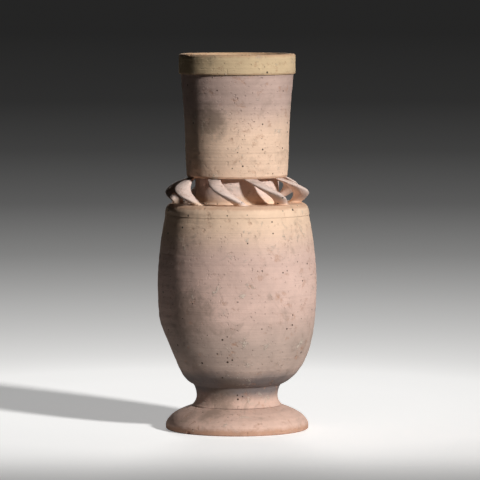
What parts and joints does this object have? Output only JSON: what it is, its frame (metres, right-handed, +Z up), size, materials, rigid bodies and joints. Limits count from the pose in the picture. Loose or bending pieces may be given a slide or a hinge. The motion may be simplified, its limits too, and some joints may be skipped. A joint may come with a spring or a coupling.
{
  "type": "vase",
  "caption": "Tall footed pottery vase with an egg-shaped body, sharp shoulder, wide neck, banded lip and leaning lugs round the neck base.",
  "frame": {"origin": "centre of the foot's resting ring, on the surface the vase stands on", "axes": "+Z up along the wheel axis, -Y towards the viewer of the picture, +X to the viewer's right"},
  "size_m": [0.1106, 0.1106, 0.26],
  "materials": {
    "foot_clay": "matte peach-orange fired clay with thin slip",
    "stem_clay": "matte grey-brown fired clay",
    "body_clay": "matte pink slip over fired clay",
    "shoulder_clay": "matte peach-yellow slip over fired clay",
    "neck_clay": "matte peach slip with greyer stains",
    "lip_clay": "matte cream-yellow slip",
    "lug_clay": "matte pink-grey fired clay"
  },
  "bodies": {
    "root": {"foot": "foot_clay", "stem": "stem_clay", "body": "body_clay", "shoulder": "shoulder_clay", "neck": "neck_clay", "lip": "lip_clay", "lug_1": "lug_clay", "lug_2": "lug_clay", "lug_3": "lug_clay", "lug_4": "lug_clay", "lug_5": "lug_clay", "lug_6": "lug_clay", "lug_7": "lug_clay", "lug_8": "lug_clay"}
  },
  "joints": []
}
